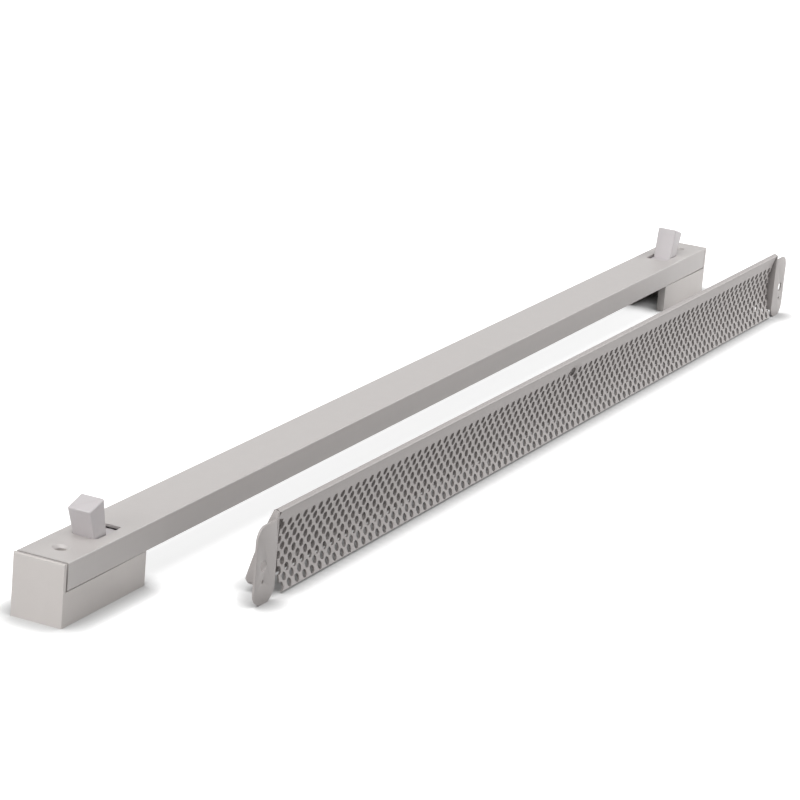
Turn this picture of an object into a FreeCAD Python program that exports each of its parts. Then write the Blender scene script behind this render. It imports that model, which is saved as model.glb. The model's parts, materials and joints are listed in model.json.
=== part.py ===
import FreeCAD, Part
import math
import os

# Window trickle vent: an inner bar with two tilting levers that lower a damper, and an outer hood.
# Millimetres, +Z up. The origin is midway between the bar's two fixing holes, on the face it sits on.
# X runs along the bar, and the hood stands in front of it on the -Y side.

# Bar
bar_length = 600.0
bar_width = 20.6
cover_height = 10.0
cover_wall = 1.0
cover_set_in = 1.85
cover_edge_round = 0.5
cover_fit = 0.2

# End blocks
leg_height = 13.0
leg_length = 53.0
leg_wall = 3.6
block_floor_length = 24.0
block_floor = 2.0
cheek_thickness = 2.0
cheek_end_gap = 3.0
end_plate_thickness = 1.6
end_plate_drop = 0.85
end_plate_draft = 0.65
end_plate_round = 0.8
rib_thickness = 2.0
rib_drop = 1.0
parting_chamfer = 0.25

# Fixing holes through the bar
fixing_from_end = 13.1
fixing_hole_radius = 2.1
fixing_boss_radius = 4.2
countersink_radius = 3.2

# Lever slot in the top of the bar, set out from the lever's pivot
slot_outer_reach = 6.7
slot_length = 16.1
slot_width = 10.4
slot_corner = 0.6

# Levers
lever_tilt = 17.0
lever_travel = 44.0
pivot_from_leg_end = 18.6
pivot_height = 12.6
knob_reach = 23.95
knob_base_height = 7.5
knob_base_thickness = 5.9
knob_top_thickness = 8.1
knob_base_width = 9.8
knob_top_width = 9.3
knob_side_bevel = 0.6
knob_top_bevel = 0.8
drum_gap = 1.2
drum_outer_angle = -70.0
drum_inner_angle = 62.0
hub_radius = 4.0
crank_radius = 16.7
crank_web = 4.0
crank_web_height = 4.0
crank_eye_radius = 2.2

# Pins and washers
pivot_pin_radius = 1.5
pivot_pin_depth = 1.8
crank_pin_radius = 1.2
crank_pin_overhang = 0.8
press_gap = 0.02
running_gap = 0.06
washer_half = 3.2
washer_gap = 0.08

# Damper
damper_end_gap = 1.0
damper_side_gap = 0.7
damper_sheet = 2.0
damper_groove_width = 3.0
damper_groove_depth = 0.4
gasket_thickness = 3.0
gasket_inset = 0.6
gasket_clearance = 0.1
gasket_groove_width = 3.0
gasket_groove_depth = 1.0
groove_share = 0.66

# Damper brackets and their rivets
ear_thickness = 1.4
ear_side_gap = 1.2
ear_rise = 2.2
ear_drop = 2.6
ear_outer_margin = 2.0
ear_plate_gap = 0.2
bracket_length = 12.0
bracket_start = 1.5
bracket_sheet = 1.2
pin_slot_gap = 0.15
rivet_radius = 1.2
rivet_head_radius = 1.9
rivet_head_height = 0.8
rivet_spacing = 6.0

# Hood, placed as it stands beside the bar
hood_centre_x = 22.9
hood_centre_y = -54.3
hood_turn = -0.49
hood_length = 508.4
hood_height = 33.0
hood_depth = 10.6
hood_sheet = 0.8
hood_top_width = 2.2
hood_top_rise = 0.8
hem_bend_height = 6.1
hem_length = 2.0
hem_angle = 45.0
tab_width = 12.4
tab_height = 30.6
tab_bottom_round = 5.9
tab_top_round = 6.4
tab_hole_height = 14.5
tab_hole_radius = 2.1
tab_hole_from_edge = 6.7
tab_dish_radius = 3.2
pip_height = 8.7
pip_radius = 0.7
cheek_foot = 5.4
cheek_seat_gap = 0.05

# Perforated sheet of the hood
mesh_seat_gap = 0.05
mesh_end_gap = 1.0
mesh_foot = 2.0
mesh_hole_half = 3.8
mesh_pitch = 11.6
mesh_side_margin = 4.0
mesh_foot_margin = 0.6
mesh_top_margin = 3.2
centre_hole_x = 8.4
centre_hole_from_top = 8.6
centre_hole_radius = 1.8
centre_dish_radius = 5.0

# Sizes worked out from the ones above
half_length = bar_length / 2
half_width = bar_width / 2
bar_top = leg_height + cover_height
cover_inside = bar_top - cover_wall
inner_half = half_width - leg_wall
pivot_from_end = leg_length - pivot_from_leg_end
slot_start = pivot_from_end - slot_outer_reach
cheek_outer = half_width - cover_wall - cover_fit
cheek_inner = cheek_outer - cheek_thickness
drum_radius = cover_inside - pivot_height - drum_gap
crank_rise = math.radians(lever_travel / 2)
crank_height = pivot_height + crank_radius * math.sin(crank_rise)
crank_near = pivot_from_end + crank_radius * math.cos(crank_rise)
crank_far = pivot_from_end + crank_radius
gasket_bottom = leg_height + gasket_clearance
damper_bottom = gasket_bottom + gasket_thickness
damper_top = damper_bottom + damper_sheet
damper_half = half_width - cover_wall - damper_side_gap
damper_start = leg_length + damper_end_gap
ear_inner = crank_web / 2 + ear_side_gap
ear_outer = ear_inner + ear_thickness
bracket_base_start = damper_start + bracket_start
hood_half = hood_length / 2


def vec(x, y, z):
    return FreeCAD.Vector(x, y, z)


def block(x0, x1, y0, y1, z0, z1):
    return Part.makeBox(x1 - x0, y1 - y0, z1 - z0, vec(x0, y0, z0))


def rod_y(radius, x, z, y0, y1):
    return Part.makeCylinder(radius, y1 - y0, vec(x, y0, z), vec(0, 1, 0))


def rod_z(radius, x, y, z0, z1):
    return Part.makeCylinder(radius, z1 - z0, vec(x, y, z0), vec(0, 0, 1))


def polygon(points):
    return Part.makePolygon(points + [points[0]])


def prism_y(outline, y0, y1):
    points = [vec(x, y0, z) for x, z in outline]
    return Part.Face(polygon(points)).extrude(vec(0, y1 - y0, 0))


def prism_x(outline, x0, x1):
    points = [vec(x0, y, z) for y, z in outline]
    return Part.Face(polygon(points)).extrude(vec(x1 - x0, 0, 0))


def from_end(distance):
    return distance - half_length


def mirrored(shape):
    return shape.mirror(vec(0, 0, 0), vec(1, 0, 0))


def edges_along(shape, direction, where):
    picked = []
    for edge in shape.Edges:
        if len(edge.Vertexes) != 2:
            continue
        run = edge.Vertexes[1].Point - edge.Vertexes[0].Point
        if run.Length > 0 and abs(run.normalize().dot(direction)) > 0.97 and where(edge.CenterOfMass):
            picked.append(edge)
    return picked


# Cover of the bar: a channel, open below, with a lever slot and a countersunk hole at each end
def make_cover_profile():
    x0 = from_end(cover_set_in)
    x1 = -x0
    shell = block(x0, x1, -half_width, half_width, leg_height, bar_top)
    long_edges = edges_along(shell, vec(1, 0, 0), lambda c: c.z > bar_top - 0.01)
    shell = shell.makeFillet(cover_edge_round, long_edges)
    inside = half_width - cover_wall
    shell = shell.cut(block(x0 - 1, x1 + 1, -inside, inside, leg_height - 1, cover_inside))
    for side in (1, -1):
        shell = shell.cut(lever_slot(side))
        shell = shell.cut(countersunk_hole(side))
    return shell


def lever_slot(side):
    start = side * from_end(slot_start)
    end = side * from_end(slot_start + slot_length)
    half = slot_width / 2
    cutter = block(min(start, end), max(start, end), -half, half, cover_inside - 1, bar_top + 1)
    corners = edges_along(cutter, vec(0, 0, 1), lambda c: True)
    return cutter.makeChamfer(slot_corner, corners)


def countersunk_hole(side):
    x = side * from_end(fixing_from_end)
    hole = rod_z(fixing_hole_radius, x, 0, cover_inside - 1, bar_top + 1)
    cone = Part.makeCone(
        fixing_hole_radius, countersink_radius, cover_wall, vec(x, 0, cover_inside), vec(0, 0, 1))
    return hole.fuse(cone)


# End block: the leg under the bar's end, its end plate, and the cheeks that carry the lever's pin
def make_end_block():
    outer = from_end(0)
    end = from_end(leg_length)
    body = block(outer, end, -half_width, half_width, 0, leg_height)
    top_edges = edges_along(
        body, vec(1, 0, 0), lambda c: c.z > leg_height - 0.01)
    body = body.makeChamfer(parting_chamfer, top_edges)
    hollow_start = from_end(end_plate_thickness)
    body = body.cut(block(hollow_start, end + 1, -inner_half, inner_half, -1, leg_height + 1))
    floor_end = from_end(block_floor_length)
    floor = block(hollow_start, floor_end, -inner_half, inner_half, 0, block_floor)
    rib = block(floor_end - rib_thickness, floor_end, -inner_half, inner_half, 0, leg_height - rib_drop)
    shapes = [floor, rib, end_plate(), fixing_boss()]
    cheek_end = from_end(leg_length - cheek_end_gap)
    for side in (1, -1):
        y0 = min(side * cheek_inner, side * cheek_outer)
        y1 = max(side * cheek_inner, side * cheek_outer)
        shapes.append(block(hollow_start, cheek_end, y0, y1, leg_height - block_floor, cover_inside - press_gap))
    body = body.multiFuse(shapes).removeSplitter()
    pin_end = inner_half + pivot_pin_depth + press_gap
    x = from_end(pivot_from_end)
    body = body.cut(rod_y(pivot_pin_radius + press_gap, x, pivot_height, -pin_end, pin_end))
    hole_x = from_end(fixing_from_end)
    return body.cut(rod_z(fixing_hole_radius, hole_x, 0, -1, cover_inside + 1))


def end_plate():
    outer = from_end(0)
    inner = from_end(end_plate_thickness)
    top = bar_top - end_plate_drop
    outline = [(outer - end_plate_draft, 0), (inner, 0), (inner, top), (outer, top)]
    plate = prism_y(outline, -half_width, half_width)
    face_edges = edges_along(plate, vec(0, 0, 1), lambda c: c.x < outer + 0.01)
    top_edges = edges_along(plate, vec(0, 1, 0), lambda c: c.x < outer + 0.01 and c.z > top - 0.01)
    return plate.makeFillet(end_plate_round, face_edges + top_edges)


def fixing_boss():
    x = from_end(fixing_from_end)
    return rod_z(fixing_boss_radius, x, 0, 0, cover_inside - press_gap)


# Lever, drawn upright about its pivot, then leant outwards
def make_lever():
    half = knob_base_width / 2
    parts = [drum(half), rod_y(hub_radius, 0, 0, -half, half), crank_arm()]
    lever = knob().multiFuse(parts).removeSplitter()
    lever = lever.cut(rod_y(pivot_pin_radius + running_gap, 0, 0, -half - 1, half + 1))
    eye = crank_place()
    lever = lever.cut(rod_y(crank_pin_radius + press_gap, eye.x, eye.z, -half, half))
    return lean_and_place(lever)


def lean_and_place(shape):
    shape.rotate(vec(0, 0, 0), vec(0, 1, 0), -lever_tilt)
    shape.translate(vec(from_end(pivot_from_end), 0, pivot_height))
    return shape


def crank_place():
    angle = crank_rise - math.radians(lever_tilt)
    return vec(crank_radius * math.cos(angle), 0, crank_radius * math.sin(angle))


# Knob: a tapered block, thicker and a little narrower at its top, with bevelled edges
def knob():
    base_x = knob_base_thickness / 2
    base_y = knob_base_width / 2
    top_x = knob_top_thickness / 2
    top_y = knob_top_width / 2
    body = Part.makeWedge(
        -base_x, 0, -base_y, -top_y, -top_x, base_x, knob_reach - knob_base_height, base_y, top_y, top_x)
    body.rotate(vec(0, 0, 0), vec(1, 0, 0), 90)
    body.translate(vec(0, 0, knob_base_height))
    body = body.makeChamfer(knob_side_bevel, edges_along(body, vec(0, 0, 1), lambda c: True))
    top_edges = [edge for edge in body.Edges if edge.CenterOfMass.z > knob_reach - 0.01]
    return body.makeChamfer(knob_top_bevel, top_edges)


def drum(half):
    def rim(angle):
        turn = math.radians(angle)
        return vec(drum_radius * math.sin(turn), -half, drum_radius * math.cos(turn))
    middle = (drum_outer_angle + drum_inner_angle) / 2
    centre = vec(0, -half, 0)
    first = rim(drum_outer_angle)
    last = rim(drum_inner_angle)
    arc = Part.Arc(first, rim(middle), last).toShape()
    wire = Part.Wire([Part.makeLine(centre, first), arc, Part.makeLine(last, centre)])
    return Part.Face(wire).extrude(vec(0, 2 * half, 0))


def crank_arm():
    eye = crank_place()
    web = block(0, eye.Length, -crank_web / 2, crank_web / 2, -crank_web_height / 2, crank_web_height / 2)
    web.rotate(vec(0, 0, 0), vec(0, 1, 0), -math.degrees(math.atan2(eye.z, eye.x)))
    return web.fuse(rod_y(crank_eye_radius, eye.x, eye.z, -crank_web / 2, crank_web / 2))


def make_pivot_pin():
    end = inner_half + pivot_pin_depth
    return rod_y(pivot_pin_radius, from_end(pivot_from_end), pivot_height, -end, end)


def make_crank_pin():
    end = ear_outer + crank_pin_overhang
    return rod_y(crank_pin_radius, from_end(crank_near), crank_height, -end, end)


# Square friction washers, one each side of the lever, that keep it where it is set
def make_friction_washers():
    x = from_end(pivot_from_end)
    start = knob_base_width / 2 + washer_gap
    pads = []
    for y0, y1 in ((start, inner_half), (-inner_half, -start)):
        pad = block(
            x - washer_half, x + washer_half, y0, y1, pivot_height - washer_half, pivot_height + washer_half)
        pads.append(pad.cut(rod_y(pivot_pin_radius + press_gap, x, pivot_height, y0 - 1, y1 + 1)))
    return Part.Compound(pads)


# Damper: a flat bar with two shallow grooves, which hides inside the cover when the vent is open
def make_damper_plate():
    x0 = from_end(damper_start)
    x1 = -x0
    plate = block(x0, x1, -damper_half, damper_half, damper_bottom, damper_top)
    plate = plate.cut(grooves(damper_half, damper_groove_width, damper_top - damper_groove_depth, damper_top + 1))
    for side in (1, -1):
        for x in rivet_places():
            plate = plate.cut(rod_z(rivet_radius + press_gap, side * x, 0, damper_bottom - 1, damper_top + 1))
    return plate


# Foam strip under the damper, with two grooves along it
def make_damper_gasket():
    x0 = from_end(damper_start)
    x1 = -x0
    half = damper_half - gasket_inset
    strip = block(x0, x1, -half, half, gasket_bottom, damper_bottom)
    return strip.cut(grooves(half, gasket_groove_width, gasket_bottom - 1, gasket_bottom + gasket_groove_depth))


# Cutter for two grooves along the damper, midway between its middle and its sides
def grooves(half, width, z0, z1):
    x = from_end(damper_start) - 1
    cutters = []
    for y in (-half * groove_share, half * groove_share):
        cutters.append(block(x, -x, y - width / 2, y + width / 2, z0, z1))
    return Part.Compound(cutters)


def rivet_places():
    middle = bracket_base_start + bracket_length / 2
    return [from_end(middle - rivet_spacing / 2), from_end(middle + rivet_spacing / 2)]


# Bracket on the damper's end, with a slotted ear each side of the lever's crank
def make_damper_bracket():
    base_x0 = from_end(bracket_base_start)
    base_x1 = base_x0 + bracket_length
    base_top = damper_top + bracket_sheet
    bracket = block(base_x0, base_x1, -ear_outer, ear_outer, damper_top, base_top)
    tip = from_end(crank_near - crank_pin_radius - ear_outer_margin)
    step = from_end(damper_start - ear_plate_gap)
    high = crank_height + ear_rise
    low = crank_height - ear_drop
    outline = [(tip, low), (step, low), (step, damper_top), (base_x1, damper_top), (base_x1, base_top),
               (base_x0 + bracket_length / 2, high), (tip, high)]
    for y0, y1 in ((ear_inner, ear_outer), (-ear_outer, -ear_inner)):
        bracket = bracket.fuse(prism_y(outline, y0, y1))
    bracket = bracket.removeSplitter().cut(pin_slot())
    for x in rivet_places():
        bracket = bracket.cut(rod_z(rivet_radius + press_gap, x, 0, damper_top - 1, base_top + 1))
    return bracket


def pin_slot():
    radius = crank_pin_radius + pin_slot_gap
    x0 = from_end(crank_near)
    x1 = from_end(crank_far)
    y = ear_outer + 1
    slot = block(x0, x1, -y, y, crank_height - radius, crank_height + radius)
    ends = [rod_y(radius, x, crank_height, -y, y) for x in (x0, x1)]
    return slot.multiFuse(ends)


def make_bracket_rivets():
    head_bottom = damper_top + bracket_sheet
    rivets = []
    for side in (1, -1):
        for place in rivet_places():
            x = side * place
            shank = rod_z(rivet_radius, x, 0, damper_bottom, head_bottom)
            head = rod_z(rivet_head_radius, x, 0, head_bottom, head_bottom + rivet_head_height)
            rivets.append(shank.fuse(head).removeSplitter())
    return Part.Compound(rivets)


# Hood pieces are drawn about the hood's own middle, with the wall side at y = 0 and the roof behind it
def place_hood(shape):
    shape.rotate(vec(0, 0, 0), vec(0, 0, 1), hood_turn)
    shape.translate(vec(hood_centre_x, hood_centre_y, 0))
    return shape


# Offsets an open chain of (y, z) points to one side, mitred at its corners, to make a folded sheet
def folded_section(chain, thickness):
    normals = []
    for (y0, z0), (y1, z1) in zip(chain[:-1], chain[1:]):
        run = math.hypot(y1 - y0, z1 - z0)
        normals.append(((z1 - z0) / run, -(y1 - y0) / run))
    inner = []
    for i, (y, z) in enumerate(chain):
        a = normals[max(i - 1, 0)]
        b = normals[min(i, len(normals) - 1)]
        scale = thickness / (1 + a[0] * b[0] + a[1] * b[1])
        inner.append((y + (a[0] + b[0]) * scale, z + (a[1] + b[1]) * scale))
    return inner


def canopy_outline():
    turn = math.radians(hem_angle)
    hem_y = hood_depth - hem_length * math.sin(turn)
    hem_z = hem_bend_height - hem_length * math.cos(turn)
    return [(0, hood_height - hood_top_rise), (hood_top_width, hood_height),
            (hood_depth, hem_bend_height), (hem_y, hem_z)]


# Canopy: one folded sheet that is the narrow top, the sloping roof and its hem
def make_hood_canopy():
    chain = canopy_outline()
    inner = folded_section(chain, hood_sheet)
    shell = prism_x(chain + inner[::-1], -hood_half, hood_half)
    fold_edges = edges_along(
        shell, vec(1, 0, 0), lambda c: c.z > hood_height - 0.01 or c.y > hood_depth - 0.01)
    return place_hood(shell.makeFillet(hood_sheet / 2, fold_edges))


# End of the hood: a cheek that closes the wedge, and a flat fixing tab bent outwards from it
def make_hood_end(side):
    front, fold, bend, hem = folded_section(canopy_outline(), hood_sheet)
    foot_y = hem[0] - cheek_seat_gap
    front_top = front[1] - cheek_seat_gap
    outline = [(0, cheek_foot), (foot_y, cheek_foot), (foot_y, bend[1] + cheek_seat_gap),
               (bend[0] - cheek_seat_gap, bend[1] + cheek_seat_gap),
               (fold[0] - cheek_seat_gap, fold[1] - cheek_seat_gap), (front[0], front_top), (0, front_top)]
    cheek = prism_x(outline, hood_half - hood_sheet, hood_half)
    end = cheek.fuse(fixing_tab()).removeSplitter()
    end = end.cut(tab_hole())
    if side < 0:
        end = mirrored(end)
    return place_hood(end)


def fixing_tab():
    x0 = hood_half - hood_sheet
    x1 = hood_half + tab_width
    tab = block(x0, x1, 0, hood_sheet, 0, tab_height)
    foot_edges = edges_along(tab, vec(0, 1, 0), lambda c: c.z < 0.01)
    tab = tab.makeFillet(tab_bottom_round, foot_edges)
    top_edges = edges_along(tab, vec(0, 1, 0), lambda c: c.z > tab_height - 0.01 and c.x > x1 - 0.01)
    return tab.makeFillet(tab_top_round, top_edges)


def tab_hole():
    x = hood_half + tab_width - tab_hole_from_edge
    through = rod_y(tab_hole_radius, x, tab_hole_height, -1, hood_sheet + 1)
    dish = Part.makeCone(
        tab_dish_radius, tab_hole_radius, hood_sheet / 2, vec(x, 0, tab_hole_height), vec(0, 1, 0))
    pip = rod_y(pip_radius, x, pip_height, -1, hood_sheet + 1)
    return Part.Compound([through.fuse(dish), pip])


# Perforated front sheet: staggered rows of holes, each cut as a square standing on its corner
def make_mesh_sheet():
    half = hood_half - hood_sheet - mesh_end_gap
    top = folded_section(canopy_outline(), hood_sheet)[0][1] - mesh_seat_gap
    wires = [polygon([vec(-half, 0, mesh_foot), vec(half, 0, mesh_foot), vec(half, 0, top), vec(-half, 0, top)])]
    centre_z = top - centre_hole_from_top
    for x, z in mesh_hole_places(half, top):
        if math.hypot(x - centre_hole_x, z - centre_z) > centre_dish_radius:
            wires.append(square_on_corner(x, z, mesh_hole_half))
    sheet = Part.Face(wires, "Part::FaceMakerBullseye").extrude(vec(0, hood_sheet, 0))
    return place_hood(sheet.cut(rod_y(centre_hole_radius, centre_hole_x, centre_z, -1, hood_sheet + 1)))


def square_on_corner(x, z, half):
    return polygon([vec(x - half, 0, z), vec(x, 0, z - half), vec(x + half, 0, z), vec(x, 0, z + half)])


def mesh_hole_places(half, top):
    row_step = mesh_pitch / 2
    first = mesh_foot + mesh_foot_margin + mesh_hole_half
    last = top - mesh_top_margin - mesh_hole_half
    column_count = int((2 * half - 2 * mesh_side_margin) / mesh_pitch)
    places = []
    for row in range(int((last - first) / row_step) + 1):
        count = column_count - row % 2
        for column in range(count):
            places.append(((column - (count - 1) / 2) * mesh_pitch, first + row * row_step))
    return places


def main():
    nodes = {
        "cover_profile": make_cover_profile(),
        "damper_plate": make_damper_plate(),
        "damper_gasket": make_damper_gasket(),
        "bracket_rivets": make_bracket_rivets(),
        "hood_canopy": make_hood_canopy(),
        "hood_mesh": make_mesh_sheet(),
        "hood_end_left": make_hood_end(-1),
        "hood_end_right": make_hood_end(1),
    }
    paired = {
        "end_block": make_end_block(),
        "lever": make_lever(),
        "pivot_pin": make_pivot_pin(),
        "crank_pin": make_crank_pin(),
        "friction_washers": make_friction_washers(),
        "damper_bracket": make_damper_bracket(),
    }
    for name, shape in paired.items():
        nodes[name + "_left"] = shape
        nodes[name + "_right"] = mirrored(shape)
    os.makedirs("parts", exist_ok=True)
    for name, shape in nodes.items():
        shape.exportStep("parts/" + name + ".step")


main()
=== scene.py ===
import bmesh
import bpy
import json
import math
from mathutils import Matrix, Vector


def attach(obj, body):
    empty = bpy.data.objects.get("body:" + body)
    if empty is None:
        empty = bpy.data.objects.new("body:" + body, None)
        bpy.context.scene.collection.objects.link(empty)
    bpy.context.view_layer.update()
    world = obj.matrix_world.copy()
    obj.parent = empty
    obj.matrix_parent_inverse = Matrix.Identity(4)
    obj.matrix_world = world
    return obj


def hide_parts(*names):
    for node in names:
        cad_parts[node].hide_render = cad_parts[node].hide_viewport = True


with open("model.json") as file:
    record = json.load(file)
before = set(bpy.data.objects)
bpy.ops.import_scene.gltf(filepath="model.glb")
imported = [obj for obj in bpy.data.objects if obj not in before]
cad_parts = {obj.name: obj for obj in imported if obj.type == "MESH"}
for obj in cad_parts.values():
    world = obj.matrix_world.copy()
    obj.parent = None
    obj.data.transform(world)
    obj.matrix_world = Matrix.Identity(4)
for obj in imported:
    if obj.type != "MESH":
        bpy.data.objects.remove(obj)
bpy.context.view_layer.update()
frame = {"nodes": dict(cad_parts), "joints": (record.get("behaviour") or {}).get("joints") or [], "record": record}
nodes = frame["nodes"]
record = frame["record"]

# Lengths in this script are millimetres where nothing else is said, and the scene itself is in metres
MM = 0.001
MM_PER_METRE = 1000

# Steps in a fold of the sheet, in a tab's round corner and round a hole of the face
FOLD_STEPS = 5
CORNER_STEPS = 12
HOLE_SIDES = 24

# Least turn of an edge that stays sharp in shading and of one that a tab's bevel takes, in degrees,
# and of one that a lever's bevel takes, in radians
SMOOTH_ANGLE = 32
BEVEL_ANGLE = 35
CORNER_TURN = 1.2

# Distances within which points are one, or lie on an edge
SAME_PLACE = 1e-4
ON_EDGE = 1e-3

# Lever sizes, about the lever's pivot and before it leans
LEVER_TILT = 17.0
KNOB_BASE = 7.5
KNOB_SUNK = 2.0
KNOB_REACH = 23.7
KNOB_BASE_SIZE = (7.0, 8.9)
KNOB_TOP_SIZE = (9.3, 9.3)
KNOB_SIDE_ROUND = 0.6
KNOB_TOP_ROUND = 0.7
KNOB_ROUND_STEPS = 5
DRUM_RADIUS = 9.15
DRUM_HALF = 4.9
DRUM_ANGLES = (-70.0, 62.0)
DRUM_STEPS = 44
HUB_RADIUS = 4.0
HUB_STEPS = 40
CRANK_RADIUS = 16.7
CRANK_ANGLE = 5.0
CRANK_WEB = 4.0
CRANK_WEB_STEPS = 14
CRANK_EYE = 2.2
CRANK_EYE_SPREAD = 80
CRANK_EYE_STEPS = 18
PIVOT_HOLE = 1.56
PIVOT_HOLE_HALF = 9
PIVOT_HOLE_SIDES = 32
CRANK_HOLE = 1.22
CRANK_HOLE_HALF = 4
CRANK_HOLE_SIDES = 24
LEVER_BEVEL = 0.15
LEVER_BEVEL_STEPS = 2
TONGUE_REACH = 8.7
TONGUE_TOP = 9.1
TONGUE_THICK = 1.3

# Hood sizes: u runs along the hood from its middle, v back from its front face, z up
CANOPY_HALF = 251.5
HOOD_HALF = 252.6
HOOD_SHEET = 0.8
FACE_ENDS = (-246.0, 251.0)
STRIP_ENDS = (-250.0, 251.2)
FACE_FOOT = 0.8
FACE_FOLD_HEIGHT = 32.1
FACE_HOLLOW = 3.0
FACE_STEPS = 4
FIRST_HOLE = -251.05
HOLE_RADIUS = 1.52
HOLE_PITCH = 5.66
ROW_STEP = 2.8
ROW_COUNT = 9
LOWEST_ROW = 2.5
TOP_FOLD = (1.9, 32.9)
ROOF_FOOT = (11.4, 4.9)
ROOF_BULGE = 0.6
ROOF_STEPS = 6
HEM_FOLD = (10.5, 2.9)
HEM_TIP = (8.5, 2.8)
HEM_LOW = (10.1, 3.3)
FOLD_RADIUS = 0.6
DISH_CENTRE = (8.4, 24.7)
DISH_RADIUS = 5.4
DISH_DEPTH = 1.3
DISH_HOLE_RADIUS = 1.95
DISH_HOLE_REACH = 2.6

# End tabs of the hood
TAB_WIDTH = 13.8
TAB_HEIGHT = 29.6
TAB_SPLAY = 1.3
TAB_SPLAY_FOOT = 12.0
TAB_FOOT_ROUND = 5.9
TAB_TOP_ROUND = 5.2
TAB_HOLE_FROM_EDGE = 5.6
TAB_HOLE_HEIGHT = 14.5
TAB_HOLE_RADIUS = 2.1
TAB_HOLE_HALF = 5
TAB_HOLE_SIDES = 32
TAB_BEVEL = 0.18
TAB_BEVEL_STEPS = 2
PIP_HEIGHT = 8.7
PIP_RADIUS = 0.7
PIP_SIDES = 16
CHEEK_FOOT = 4.1
CHEEK_DROP = 0.2

# End plates, which stand a little off the cover's ends, and the open line under the cover. The bevel
# takes the plate's edges that lie PLATE_BEVEL_OUT beyond its inner face and reach above PLATE_BEVEL_LOW.
PLATE_OUTER = 300.6
PLATE_INNER = {"left": 299.15, "right": 298.6}
PLATE_FOOT = 298.3
PLATE_CUT = 298.35
PLATE_CUT_MARGIN = 5
PLATE_TOP = 22.9
PLATE_DRAFT = 0.15
PLATE_BEVEL = 0.45
PLATE_BEVEL_STEPS = 4
PLATE_BEVEL_OUT = 0.5
PLATE_BEVEL_LOW = 1
LEG_TOP = 13.0
LINE_WIDE = 0.5
LINE_THIN = 0.12

# Camera at the photograph's viewing angle: its place in metres, its axes, and lens and sensor in
# millimetres
CAMERA_PLACE = (-1.1015, -0.5027, 0.3681)
CAMERA_RIGHT = (0.4449, -0.8917, 0.0837)
CAMERA_DOWN = (-0.2202, -0.1995, -0.9548)
CAMERA_FORWARD = (0.8681, 0.4064, -0.2851)
LENS = 134.3
SENSOR = 36.0

# Square lamps in metres: name, place, the point that each looks at, width and level. At a level of 1
# a lamp that faces a surface renders its colour as it is written.
LAMPS = (
    ("key", (-0.9, 0.0, 2.15), (0, 0, 0), 1.8, 0.84),
    ("front", (-0.3, -1.9, 1.0), (0, 0, 0), 1.6, 0.17),
    ("side", (-2.0, 0.3, 0.6), (-0.2, 0, 0), 1.0, 0.42),
    ("far_fill", (0.95, -0.75, 0.45), (0.3, -0.03, 0.01), 0.6, 0.74),
)

# World and floor. The floor's own light fades within FLOOR_NEAR metres of whatever stands on it, a painted shade
# round and under the object.
AMBIENT = 0.12
FLOOR_COLOUR = 0.5
FLOOR_LIFT = 0.8
FLOOR_NEAR = 0.012
FLOOR_CONTRAST = 5.0
FLOOR_SIZE = 12.0
WHITE = (1, 1, 1, 1)

# Mottling and grain of every finish
BROAD_SCALE = 35.0
BROAD_DETAIL = 4.0
BROAD_ROUGHNESS = 0.55
GRAIN_DETAIL = 5.0
GRAIN_ROUGHNESS = 0.6
MOTTLE = 0.03
ROUGH_SPREAD = 0.06
RELIEF_STRENGTH = 0.6

# Finish of each slot: colour, roughness, grain in waves to the millimetre along x, y and z, and the
# rest that differs from plain paint
FINISHES = {
    "bar_paint": dict(colour=(0.474, 0.449, 0.438), rough=0.42, grain=(1.6, 1.6, 1.6), bump=0.03),
    "block_plastic": dict(colour=(0.535, 0.504, 0.486), rough=0.5, grain=(3, 3, 3)),
    "lever_plastic": dict(colour=(0.525, 0.497, 0.505), rough=0.38, grain=(0.9, 0.9, 0.9), bump=0.008),
    "pin_steel": dict(colour=(0.56, 0.56, 0.55), rough=0.3, grain=(4, 0.3, 4), bump=0.006, metal=1.0),
    "washer_nylon": dict(colour=(0.72, 0.70, 0.62), rough=0.45, grain=(2, 2, 2), bump=0.012),
    "damper_metal": dict(colour=(0.62, 0.62, 0.63), rough=0.36, grain=(0.02, 3, 3), bump=0.012, metal=1.0),
    "gasket_foam": dict(
        colour=(0.035, 0.035, 0.037), rough=0.85, grain=(2.2, 2.2, 2.2), bump=0.2, speck=0.3, cells=True),
    "bracket_steel": dict(
        colour=(0.56, 0.56, 0.54), rough=0.38, grain=(0.5, 0.5, 0.5), speck=0.12, cells=True, metal=1.0),
    "rivet_aluminium": dict(colour=(0.66, 0.66, 0.66), rough=0.3, grain=(2, 2, 2), metal=1.0),
    "hood_paint": dict(colour=(0.376, 0.350, 0.341), rough=0.45, grain=(1.4, 1.4, 1.4), bump=0.025),
}


def new_object(name, mesh):
    obj = bpy.data.objects.new(name, mesh)
    bpy.context.scene.collection.objects.link(obj)
    return obj


def mesh_object(name, bm):
    mesh = bpy.data.meshes.new(name)
    bmesh.ops.recalc_face_normals(bm, faces=bm.faces)
    bm.to_mesh(mesh)
    bm.free()
    return new_object(name, mesh)


def apply_modifiers(obj):
    graph = bpy.context.evaluated_depsgraph_get()
    mesh = bpy.data.meshes.new_from_object(obj.evaluated_get(graph))
    old = obj.data
    obj.modifiers.clear()
    obj.data = mesh
    bpy.data.meshes.remove(old)


def shade(obj, angle):
    for polygon in obj.data.polygons:
        polygon.use_smooth = True
    obj.data.set_sharp_from_angle(angle=math.radians(angle))


def arc_points(centre, radius, start, end, count):
    points = []
    for i in range(count + 1):
        turn = math.radians(start + (end - start) * i / count)
        points.append((centre[0] + radius * math.sin(turn), centre[1] + radius * math.cos(turn)))
    return points


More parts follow.
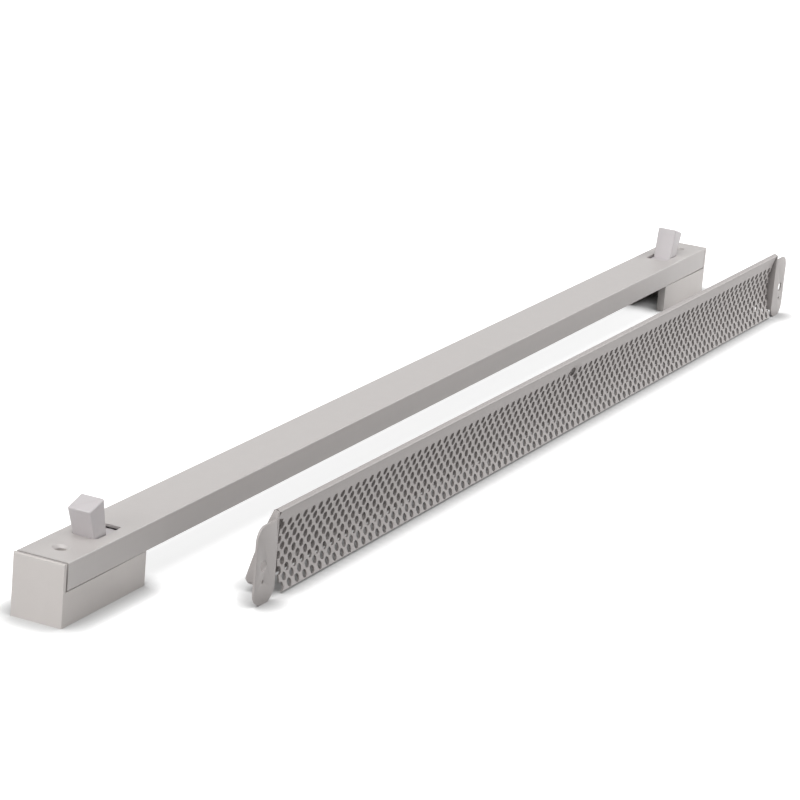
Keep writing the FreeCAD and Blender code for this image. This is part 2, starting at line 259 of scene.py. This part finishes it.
# Prism in Y from an outline of (x, z) points
def prism(outline, y0, y1):
    bm = bmesh.new()
    low = [bm.verts.new((x, y0, z)) for x, z in outline]
    high = [bm.verts.new((x, y1, z)) for x, z in outline]
    bm.faces.new(low)
    bm.faces.new(high[::-1])
    for i in range(len(outline)):
        j = (i + 1) % len(outline)
        bm.faces.new((low[i], high[i], high[j], low[j]))
    return bm


# Rounds the edges that the test keep picks
def bevel_edges(bm, width, segments, keep):
    edges = [e for e in bm.edges if keep(e)]
    bmesh.ops.bevel(bm, geom=edges, offset=width, segments=segments, profile=0.5, affect="EDGES")


def sharp(edge):
    return edge.calc_face_angle(0) > CORNER_TURN


# Joins the other object to this one, or cuts it away, and deletes it
def boolean(obj, other, kind):
    modifier = obj.modifiers.new("join", "BOOLEAN")
    modifier.operation = kind
    modifier.solver = "EXACT"
    modifier.object = other
    apply_modifiers(obj)
    bpy.data.objects.remove(other)


def cylinder_y(radius, x, z, half, sides):
    return prism(arc_points((x, z), radius, 0, 360 - 360 / sides, sides - 1), -half, half)


# Box between two corners
def box_mesh(low, high):
    outline = [(low[0], low[2]), (low[0], high[2]), (high[0], high[2]), (high[0], low[2])]
    return prism(outline, low[1], high[1])


# Knob of a lever: a tapered block, thicker at its top, with every outer edge rounded. Its foot is sunk
# into the apron.
def knob_mesh():
    bm = bmesh.new()
    rings = []
    foot = KNOB_BASE - KNOB_SUNK
    slope_x = (KNOB_TOP_SIZE[0] - KNOB_BASE_SIZE[0]) / (KNOB_REACH - KNOB_BASE)
    slope_y = (KNOB_TOP_SIZE[1] - KNOB_BASE_SIZE[1]) / (KNOB_REACH - KNOB_BASE)
    for z in (foot, KNOB_REACH):
        hx = (KNOB_BASE_SIZE[0] + slope_x * (z - KNOB_BASE)) / 2
        hy = min(KNOB_BASE_SIZE[1] + slope_y * (z - KNOB_BASE), 2 * DRUM_HALF) / 2
        corners = ((-hx, -hy, z), (hx, -hy, z), (hx, hy, z), (-hx, hy, z))
        rings.append([bm.verts.new(p) for p in corners])
    bm.faces.new(rings[0][::-1])
    bm.faces.new(rings[1])
    for i in range(4):
        j = (i + 1) % 4
        bm.faces.new((rings[0][i], rings[0][j], rings[1][j], rings[1][i]))
    bevel_edges(
        bm, KNOB_SIDE_ROUND, KNOB_ROUND_STEPS, lambda e: e.verts[0].co.z != e.verts[1].co.z)
    bevel_edges(
        bm, KNOB_TOP_ROUND, KNOB_ROUND_STEPS,
        lambda e: all(v.co.z > KNOB_REACH - ON_EDGE for v in e.verts))
    return bm


# Apron and hub in one outline: the arc that fills the slot, and the round boss on the pivot
def drum_mesh():
    outline = arc_points((0, 0), DRUM_RADIUS, DRUM_ANGLES[0], DRUM_ANGLES[1], DRUM_STEPS)
    outline += arc_points((0, 0), HUB_RADIUS, DRUM_ANGLES[1], 360 + DRUM_ANGLES[0], HUB_STEPS)
    bm = prism(outline, -DRUM_HALF, DRUM_HALF)
    bevel_edges(bm, LEVER_BEVEL, LEVER_BEVEL_STEPS, sharp)
    return bm


# Tongue from the apron towards the slot's inner end, which lies level while the lever leans outwards
def tongue_mesh():
    lean = math.radians(LEVER_TILT)
    cos_t, sin_t = math.cos(lean), math.sin(lean)
    level = [(0, TONGUE_TOP), (TONGUE_REACH, TONGUE_TOP), (TONGUE_REACH, TONGUE_TOP - TONGUE_THICK / 2),
             (0, TONGUE_TOP - 2 * TONGUE_THICK)]
    outline = [(x * cos_t + z * sin_t, z * cos_t - x * sin_t) for x, z in level]
    bm = prism(outline, -DRUM_HALF, DRUM_HALF)
    bevel_edges(bm, LEVER_BEVEL, LEVER_BEVEL_STEPS, sharp)
    return bm


# Crank arm from the pivot to the round eye that holds the crank pin
def crank_mesh(eye):
    turn = math.degrees(math.atan2(eye[0], eye[1]))
    half = CRANK_WEB / 2
    outline = arc_points((0, 0), half, turn + 90, turn + 270, CRANK_WEB_STEPS)
    outline += arc_points(eye, CRANK_EYE, turn - CRANK_EYE_SPREAD, turn + CRANK_EYE_SPREAD, CRANK_EYE_STEPS)
    bm = prism(outline, -half, half)
    bevel_edges(bm, LEVER_BEVEL, LEVER_BEVEL_STEPS, sharp)
    return bm


# Lever, built upright about its pivot, then leaned outwards and set in its joint's place
def make_lever(side, name):
    eye_turn = math.radians(CRANK_ANGLE)
    eye = (CRANK_RADIUS * math.cos(eye_turn), CRANK_RADIUS * math.sin(eye_turn))
    pivot_hole = cylinder_y(PIVOT_HOLE, 0, 0, PIVOT_HOLE_HALF, PIVOT_HOLE_SIDES)
    crank_hole = cylinder_y(CRANK_HOLE, eye[0], eye[1], CRANK_HOLE_HALF, CRANK_HOLE_SIDES)
    lever = mesh_object(name, drum_mesh())
    boolean(lever, mesh_object("tongue_tool", tongue_mesh()), "UNION")
    boolean(lever, mesh_object("crank_tool", crank_mesh(eye)), "UNION")
    boolean(lever, mesh_object("knob_tool", knob_mesh()), "UNION")
    boolean(lever, mesh_object("pivot_tool", pivot_hole), "DIFFERENCE")
    boolean(lever, mesh_object("pin_tool", crank_hole), "DIFFERENCE")
    joint = next(j for j in frame["joints"] if j["child"] == name)
    turn = Matrix.Rotation(math.radians(-LEVER_TILT), 4, "Y")
    flip = Matrix.Diagonal((side, 1, 1, 1))
    lever.data.transform(Matrix.Translation(Vector(joint["pos_m"])) @ flip @ turn @ Matrix.Scale(MM, 4))
    if side < 0:
        lever.data.flip_normals()
    shade(lever, SMOOTH_ANGLE)
    return lever


# End block: the solid's own leg, with its plate set off from the cover and its top edge lowered, so
# that an open line shows under the cover, wider towards the plate
def make_end_block(side, end):
    source = nodes["end_block_" + end]
    bm = bmesh.new()
    bm.from_mesh(source.data)
    bm.transform(Matrix.Scale(1 / MM, 4) @ source.matrix_world)
    bmesh.ops.remove_doubles(bm, verts=bm.verts, dist=SAME_PLACE)
    half = max(abs(v.co.y) for v in bm.verts)
    block = mesh_object("end_block_" + end + "_dressed", bm)
    margin = PLATE_CUT_MARGIN
    reach = sorted((-side * PLATE_CUT, -side * (PLATE_OUTER + margin)))
    tool = box_mesh((reach[0], -half - margin, -margin), (reach[1], half + margin, PLATE_TOP + margin))
    boolean(block, mesh_object("plate_cut", tool), "DIFFERENCE")
    near = min(abs(v.co.x) for v in block.data.vertices)
    for vert in block.data.vertices:
        if abs(vert.co.z - LEG_TOP) < 2 * LINE_WIDE:
            share = (abs(vert.co.x) - near) / (PLATE_CUT - near)
            vert.co.z -= LINE_THIN + (LINE_WIDE - LINE_THIN) * share
    foot = LEG_TOP - LINE_WIDE
    inner = PLATE_INNER[end]
    outline = [(PLATE_OUTER, 0), (PLATE_FOOT, 0), (PLATE_FOOT, foot), (inner, foot),
               (inner, PLATE_TOP), (PLATE_OUTER - PLATE_DRAFT, PLATE_TOP)]
    plate = prism([(-side * x, z) for x, z in outline], -half, half)
    bevel_edges(
        plate, PLATE_BEVEL, PLATE_BEVEL_STEPS,
        lambda e: all(abs(v.co.x) > inner + PLATE_BEVEL_OUT for v in e.verts)
        and max(v.co.z for v in e.verts) > PLATE_BEVEL_LOW)
    boolean(block, mesh_object("plate_tool", plate), "UNION")
    block.data.transform(Matrix.Scale(MM, 4))
    shade(block, SMOOTH_ANGLE)
    return block


# Place of the hood in the scene, from its fixing mount: its middle and the way that its face looks
def hood_matrix():
    mount = next(m for m in record["mounts"] if m["name"] == "hood_fixings")
    axis = mount["axis"]
    turn = math.atan2(axis[0], -axis[1])
    place = Vector((mount["pos_m"][0], mount["pos_m"][1], 0))
    return Matrix.Translation(place) @ Matrix.Rotation(turn, 4, "Z") @ Matrix.Scale(MM, 4)


# Turn in the sheet's section where two straight runs meet, as points on an arc
def fold_points(before, corner, after, radius):
    a = Vector(before) - Vector(corner)
    b = Vector(after) - Vector(corner)
    a.normalize()
    b.normalize()
    half = a.angle(b) / 2
    middle = Vector(corner) + (a + b).normalized() * radius / math.sin(half)
    start = Vector(corner) + a * radius / math.tan(half) - middle
    end = Vector(corner) + b * radius / math.tan(half) - middle
    turn = start.angle_signed(end)
    points = []
    for i in range(FOLD_STEPS + 1):
        share = turn * i / FOLD_STEPS
        cos_t, sin_t = math.cos(share), math.sin(share)
        points.append((
            middle.x + start.x * cos_t + start.y * sin_t,
            middle.y - start.x * sin_t + start.y * cos_t))
    return points


# Depth of the hollow face at a height
def face_hollow(z):
    share = (z - FACE_FOOT) / (FACE_FOLD_HEIGHT - FACE_FOOT)
    return FACE_HOLLOW * 4 * share * (1 - share)


# One diamond cell of the perforated face, with its round hole or without
def add_cell(bm, seen, u, z, radius):
    corners = [(HOLE_PITCH / 2, 0), (0, ROW_STEP), (-HOLE_PITCH / 2, 0), (0, -ROW_STEP)]
    per_side = HOLE_SIDES // 4
    outer = []
    for i in range(HOLE_SIDES):
        a = corners[i // per_side]
        b = corners[(i // per_side + 1) % 4]
        share = (i % per_side) / per_side
        edge_u = u + a[0] + (b[0] - a[0]) * share
        edge_z = z + a[1] + (b[1] - a[1]) * share
        key = (round(edge_u, 3), round(edge_z, 3))
        if key not in seen:
            seen[key] = bm.verts.new((key[0], 0, key[1]))
        outer.append(seen[key])
    if radius == 0:
        centre = bm.verts.new((u, 0, z))
        for i in range(HOLE_SIDES):
            bm.faces.new((outer[i], outer[(i + 1) % HOLE_SIDES], centre))
        return
    ring = []
    for i in range(HOLE_SIDES):
        turn = 2 * math.pi * i / HOLE_SIDES
        ring.append(bm.verts.new((u + radius * math.cos(turn), 0, z + radius * math.sin(turn))))
    for i in range(HOLE_SIDES):
        j = (i + 1) % HOLE_SIDES
        bm.faces.new((outer[i], outer[j], ring[j], ring[i]))


# Radius of the hole in a cell: none past the first and last rows, and a screw hole in the dimple
def hole_radius(u, z, row):
    if row < 0 or row >= ROW_COUNT:
        return 0
    if math.hypot(u - DISH_CENTRE[0], z - DISH_CENTRE[1]) < DISH_HOLE_REACH:
        return DISH_HOLE_RADIUS
    return HOLE_RADIUS


# Takes away what lies beyond a plane
def cut_face(bm, place, normal):
    geometry = bm.verts[:] + bm.edges[:] + bm.faces[:]
    bmesh.ops.bisect_plane(
        bm, geom=geometry, dist=SAME_PLACE, plane_co=place, plane_no=normal, clear_outer=True)


# Perforated face, cut straight through the holes that lie on its edges, then hollowed and dimpled
def perforated_face():
    bm = bmesh.new()
    seen = {}
    top = LOWEST_ROW + ROW_COUNT * ROW_STEP
    for row in range(-1, ROW_COUNT + 1):
        z = LOWEST_ROW + row * ROW_STEP
        shift = 0 if row % 2 == 0 else HOLE_PITCH / 2
        count = int((FACE_ENDS[1] - FACE_ENDS[0]) / HOLE_PITCH) + 5
        for column in range(-2, count):
            u = FIRST_HOLE + shift + column * HOLE_PITCH
            add_cell(bm, seen, u, z, hole_radius(u, z, row))
    cut_face(bm, (FACE_ENDS[0], 0, 0), (-1, 0, 0))
    cut_face(bm, (FACE_ENDS[1], 0, 0), (1, 0, 0))
    cut_face(bm, (0, 0, FACE_FOOT), (0, 0, -1))
    cut_face(bm, (0, 0, top), (0, 0, 1))
    for vert in bm.verts:
        vert.co.y = face_hollow(vert.co.z)
        away = math.hypot(vert.co.x - DISH_CENTRE[0], vert.co.z - DISH_CENTRE[1])
        if away < DISH_RADIUS:
            vert.co.y += DISH_DEPTH * (0.5 + 0.5 * math.cos(math.pi * away / DISH_RADIUS))
    return bm, top


# Points down the roof, which bows outwards a little
def roof_points():
    points = []
    for i in range(1, ROOF_STEPS):
        share = i / ROOF_STEPS
        v = TOP_FOLD[0] + (ROOF_FOOT[0] - TOP_FOLD[0]) * share + ROOF_BULGE * 4 * share * (1 - share)
        points.append((v, TOP_FOLD[1] + (ROOF_FOOT[1] - TOP_FOLD[1]) * share))
    return points


# Section of the sheet above the holes: up the face, over the top, down the roof and round the hem
def section_above(top):
    points = []
    for i in range(1, FACE_STEPS + 1):
        z = top + (FACE_FOLD_HEIGHT - FOLD_RADIUS - top) * i / FACE_STEPS
        points.append((face_hollow(z), z))
    front = (0, FACE_FOLD_HEIGHT)
    points += fold_points((0, top), front, TOP_FOLD, FOLD_RADIUS)
    points += fold_points(front, TOP_FOLD, ROOF_FOOT, FOLD_RADIUS)
    points += roof_points()
    points += fold_points(roof_points()[-1], ROOF_FOOT, HEM_FOLD, FOLD_RADIUS)
    points += fold_points(ROOF_FOOT, HEM_FOLD, HEM_TIP, FOLD_RADIUS)
    points.append(HEM_TIP)
    return points


# Hood's sheet: the face, with the section above it grown from its top edge. The face's own strip is a
# little shorter than the roof.
def make_hood_skin():
    bm, top = perforated_face()
    edges = [e for e in bm.edges if all(abs(v.co.z - top) < ON_EDGE for v in e.verts)]
    for index, (v, z) in enumerate(section_above(top)):
        grown = bmesh.ops.extrude_edge_only(bm, edges=edges)["geom"]
        edges = [g for g in grown if isinstance(g, bmesh.types.BMEdge)]
        ends = STRIP_ENDS if index <= FACE_STEPS else (-CANOPY_HALF, CANOPY_HALF)
        for vert in [g for g in grown if isinstance(g, bmesh.types.BMVert)]:
            vert.co.y = v
            vert.co.z = z
            if vert.co.x < FACE_ENDS[0] + ON_EDGE:
                vert.co.x = ends[0]
            elif vert.co.x > FACE_ENDS[1] - ON_EDGE:
                vert.co.x = ends[1]
    skin = mesh_object("hood_skin", bm)
    solid = skin.modifiers.new("sheet", "SOLIDIFY")
    solid.thickness = HOOD_SHEET
    solid.offset = -1.0
    solid.use_even_offset = True
    apply_modifiers(skin)
    return skin


# Outline of the end tab from its fold outwards, in (u, z)
def tab_outline():
    outer = HOOD_HALF + TAB_WIDTH
    inner = HOOD_HALF - HOOD_SHEET
    points = [(inner + TAB_SPLAY, TAB_HEIGHT)]
    top_corner = (outer - TAB_TOP_ROUND, TAB_HEIGHT - TAB_TOP_ROUND)
    points += arc_points(top_corner, TAB_TOP_ROUND, 0, 90, CORNER_STEPS)
    points += arc_points((outer - TAB_FOOT_ROUND, TAB_FOOT_ROUND), TAB_FOOT_ROUND, 90, 180, CORNER_STEPS)
    points += arc_points((inner + TAB_FOOT_ROUND, TAB_FOOT_ROUND), TAB_FOOT_ROUND, 180, 270, CORNER_STEPS)
    points.append((inner, TAB_SPLAY_FOOT))
    return points


# Outline of the cheek that closes the hood's end, in (v, z)
def cheek_outline():
    top = (TOP_FOLD[0], TOP_FOLD[1] - CHEEK_DROP)
    front = (0, FACE_FOLD_HEIGHT - CHEEK_DROP)
    foot = [(0, CHEEK_FOOT), (HEM_LOW[0] - HOOD_SHEET, CHEEK_FOOT), HEM_LOW, ROOF_FOOT]
    return foot + roof_points()[::-1] + [top, front]


# End of the hood: the cheek and the tab turned out from it, with a fixing hole and a pip
def make_hood_end(side, name):
    tab = mesh_object(name, prism(tab_outline(), 0, HOOD_SHEET))
    bm = bmesh.new()
    inner = [bm.verts.new((HOOD_HALF - HOOD_SHEET, v, z)) for v, z in cheek_outline()]
    outer = [bm.verts.new((HOOD_HALF, v, z)) for v, z in cheek_outline()]
    bm.faces.new(inner)
    bm.faces.new(outer[::-1])
    for i in range(len(inner)):
        j = (i + 1) % len(inner)
        bm.faces.new((inner[i], outer[i], outer[j], inner[j]))
    boolean(tab, mesh_object("cheek_tool", bm), "UNION")
    hole_u = HOOD_HALF + TAB_WIDTH - TAB_HOLE_FROM_EDGE
    hole = cylinder_y(TAB_HOLE_RADIUS, hole_u, TAB_HOLE_HEIGHT, TAB_HOLE_HALF, TAB_HOLE_SIDES)
    pip = cylinder_y(PIP_RADIUS, hole_u, PIP_HEIGHT, TAB_HOLE_HALF, PIP_SIDES)
    boolean(tab, mesh_object("hole_tool", hole), "DIFFERENCE")
    boolean(tab, mesh_object("pip_tool", pip), "DIFFERENCE")
    bevel = tab.modifiers.new("edges", "BEVEL")
    bevel.width = TAB_BEVEL
    bevel.segments = TAB_BEVEL_STEPS
    bevel.angle_limit = math.radians(BEVEL_ANGLE)
    apply_modifiers(tab)
    if side < 0:
        tab.data.transform(Matrix.Diagonal((-1, 1, 1, 1)))
        tab.data.flip_normals()
    return tab


# Empty node tree of a material or a world, with a helper that adds a node and joins its inputs
class Nodes:
    def __init__(self, owner):
        owner.use_nodes = True
        self.owner = owner
        self.tree = owner.node_tree
        self.tree.nodes.clear()

    def add(self, kind, links=None, **settings):
        node = self.tree.nodes.new(kind)
        for key, value in settings.items():
            if hasattr(node, key):
                setattr(node, key, value)
            else:
                node.inputs[key.replace("_", " ")].default_value = value
        for key, source in (links or {}).items():
            self.tree.links.new(source, node.inputs[key])
        return node


# Finish of a surface: broad mottling, fine specks, and a bump of its own grain, with its depth in
# millimetres. With cells, the grain is that of pores or spangles.
def finish(name, colour, rough, grain, bump=0.02, speck=0.03, metal=0.0, cells=False):
    kit = Nodes(bpy.data.materials.new(name))
    place = kit.add("ShaderNodeTexCoord").outputs["Object"]
    broad_place = kit.add("ShaderNodeVectorMath", {0: place}, operation="SCALE", Scale=BROAD_SCALE)
    broad = kit.add(
        "ShaderNodeTexNoise", {"Vector": broad_place.outputs[0]},
        Detail=BROAD_DETAIL, Roughness=BROAD_ROUGHNESS)
    stretch = kit.add("ShaderNodeVectorMath", {0: place}, operation="MULTIPLY")
    stretch.inputs[1].default_value = tuple(g * MM_PER_METRE for g in grain)
    if cells:
        height = kit.add("ShaderNodeTexVoronoi", {"Vector": stretch.outputs[0]}).outputs["Distance"]
    else:
        height = kit.add(
            "ShaderNodeTexNoise", {"Vector": stretch.outputs[0]},
            Detail=GRAIN_DETAIL, Roughness=GRAIN_ROUGHNESS).outputs["Fac"]
    dark = tuple(c * (1 - MOTTLE) for c in colour) + (1,)
    light = tuple(c * (1 + MOTTLE) for c in colour) + (1,)
    base = kit.add("ShaderNodeMix", {"Factor": broad.outputs["Fac"]}, data_type="RGBA")
    for socket in base.inputs:
        if socket.type == "RGBA":
            socket.default_value = dark if socket.name == "A" else light
    tone = kit.add("ShaderNodeMapRange", {"Value": height})
    tone.inputs["To Min"].default_value = 1 - speck
    tone.inputs["To Max"].default_value = 1 + speck
    base_colour = next(s for s in base.outputs if s.type == "RGBA")
    tinted = kit.add("ShaderNodeVectorMath", {0: base_colour}, operation="SCALE")
    kit.tree.links.new(tone.outputs["Result"], tinted.inputs["Scale"])
    gloss = kit.add("ShaderNodeMapRange", {"Value": height})
    gloss.inputs["To Min"].default_value = rough - ROUGH_SPREAD
    gloss.inputs["To Max"].default_value = rough + ROUGH_SPREAD
    relief = kit.add("ShaderNodeBump", {"Height": height}, Strength=RELIEF_STRENGTH, Distance=bump * MM)
    links = {
        "Base Color": tinted.outputs[0],
        "Roughness": gloss.outputs["Result"],
        "Normal": relief.outputs["Normal"]}
    shader = kit.add("ShaderNodeBsdfPrincipled", links, Metallic=metal)
    kit.add("ShaderNodeOutputMaterial", {"Surface": shader.outputs[0]})
    return kit.owner


def give(obj, material):
    obj.data.materials.clear()
    obj.data.materials.append(material)


# Gives every solid of the frame the finish of its slot
def dress_nodes(finishes):
    slots = {part["node"]: part["material_slot"] for part in record["subparts"]}
    for name, obj in nodes.items():
        give(obj, finishes[slots[name]])


# Socket that is 1 for camera, glossy and transmission rays, and 0 for the light that falls on things
def seen_ray(kit):
    rays = kit.add("ShaderNodeLightPath").outputs
    either = kit.add(
        "ShaderNodeMath", {0: rays["Is Camera Ray"], 1: rays["Is Glossy Ray"]}, operation="MAXIMUM")
    return kit.add(
        "ShaderNodeMath", {0: either.outputs[0], 1: rays["Is Transmission Ray"]},
        operation="MAXIMUM").outputs[0]


# Floor: grey paint that keeps the object's shadow, and a glow that makes it white to the camera and fades into
# painted shade close to whatever stands on it
def make_floor():
    half = FLOOR_SIZE / 2
    corners = ((-half, -half), (half, -half), (half, half), (-half, half))
    bm = bmesh.new()
    bm.faces.new([bm.verts.new((x, y, 0)) for x, y in corners])
    floor = mesh_object("floor", bm)
    kit = Nodes(bpy.data.materials.new("floor"))
    seen = seen_ray(kit)
    # Painted shade: the glow dims with ambient occlusion near and under the object
    nearby = kit.add("ShaderNodeAmbientOcclusion", Distance=FLOOR_NEAR)
    open_share = kit.add("ShaderNodeMath", {0: nearby.outputs["AO"]}, operation="POWER")
    open_share.inputs[1].default_value = FLOOR_CONTRAST
    reach = kit.add("ShaderNodeMath", {0: seen, 1: open_share.outputs[0]}, operation="MULTIPLY")
    lift = kit.add("ShaderNodeMath", {0: reach.outputs[0]}, operation="MULTIPLY")
    lift.inputs[1].default_value = FLOOR_LIFT
    paint = kit.add("ShaderNodeBsdfDiffuse", Color=(FLOOR_COLOUR, FLOOR_COLOUR, FLOOR_COLOUR, 1))
    glow = kit.add("ShaderNodeEmission", {"Strength": lift.outputs[0]}, Color=WHITE)
    both = kit.add("ShaderNodeAddShader", {0: paint.outputs[0], 1: glow.outputs[0]})
    kit.add("ShaderNodeOutputMaterial", {"Surface": both.outputs[0]})
    give(floor, kit.owner)


def make_world():
    world = bpy.data.worlds.new("studio")
    bpy.context.scene.world = world
    kit = Nodes(world)
    seen = seen_ray(kit)
    level = kit.add("ShaderNodeMapRange", {"Value": seen})
    level.inputs["To Min"].default_value = AMBIENT
    level.inputs["To Max"].default_value = 1.0
    back = kit.add("ShaderNodeBackground", {"Strength": level.outputs["Result"]}, Color=WHITE)
    kit.add("ShaderNodeOutputWorld", {"Surface": back.outputs[0]})


def make_lamp(name, place, target, size, level):
    data = bpy.data.lights.new(name, "AREA")
    data.shape = "SQUARE"
    data.size = size
    away = Vector(target) - Vector(place)
    data.energy = level * math.pi ** 2 * away.length_squared
    lamp = new_object(name, data)
    lamp.location = place
    lamp.rotation_euler = away.to_track_quat("-Z", "Y").to_euler()


def make_camera():
    data = bpy.data.cameras.new("camera")
    data.lens = LENS
    data.sensor_width = SENSOR
    camera = new_object("camera", data)
    axes = Matrix((CAMERA_RIGHT, [-c for c in CAMERA_DOWN], [-c for c in CAMERA_FORWARD])).transposed()
    camera.matrix_world = Matrix.Translation(CAMERA_PLACE) @ axes.to_4x4()
    bpy.context.scene.camera = camera


def main():
    finishes = {name: finish(name, **settings) for name, settings in FINISHES.items()}
    dress_nodes(finishes)
    for side, end in ((1, "left"), (-1, "right")):
        lever = make_lever(side, end + "_lever")
        give(lever, finishes["lever_plastic"])
        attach(lever, end + "_lever")
        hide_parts("lever_" + end)
        block = make_end_block(side, end)
        give(block, finishes["block_plastic"])
        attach(block, "root")
        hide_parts("end_block_" + end)
    place = hood_matrix()
    skin = make_hood_skin()
    skin.data.transform(place)
    shade(skin, SMOOTH_ANGLE)
    give(skin, finishes["hood_paint"])
    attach(skin, "root")
    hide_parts("hood_mesh", "hood_canopy")
    for side, end in ((-1, "left"), (1, "right")):
        tab = make_hood_end(side, "hood_tab_" + end)
        tab.data.transform(place)
        shade(tab, SMOOTH_ANGLE)
        give(tab, finishes["hood_paint"])
        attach(tab, "root")
        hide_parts("hood_end_" + end)
    make_floor()
    make_world()
    for lamp in LAMPS:
        make_lamp(*lamp)
    make_camera()
    bpy.context.scene.view_settings.view_transform = "Standard"


main()
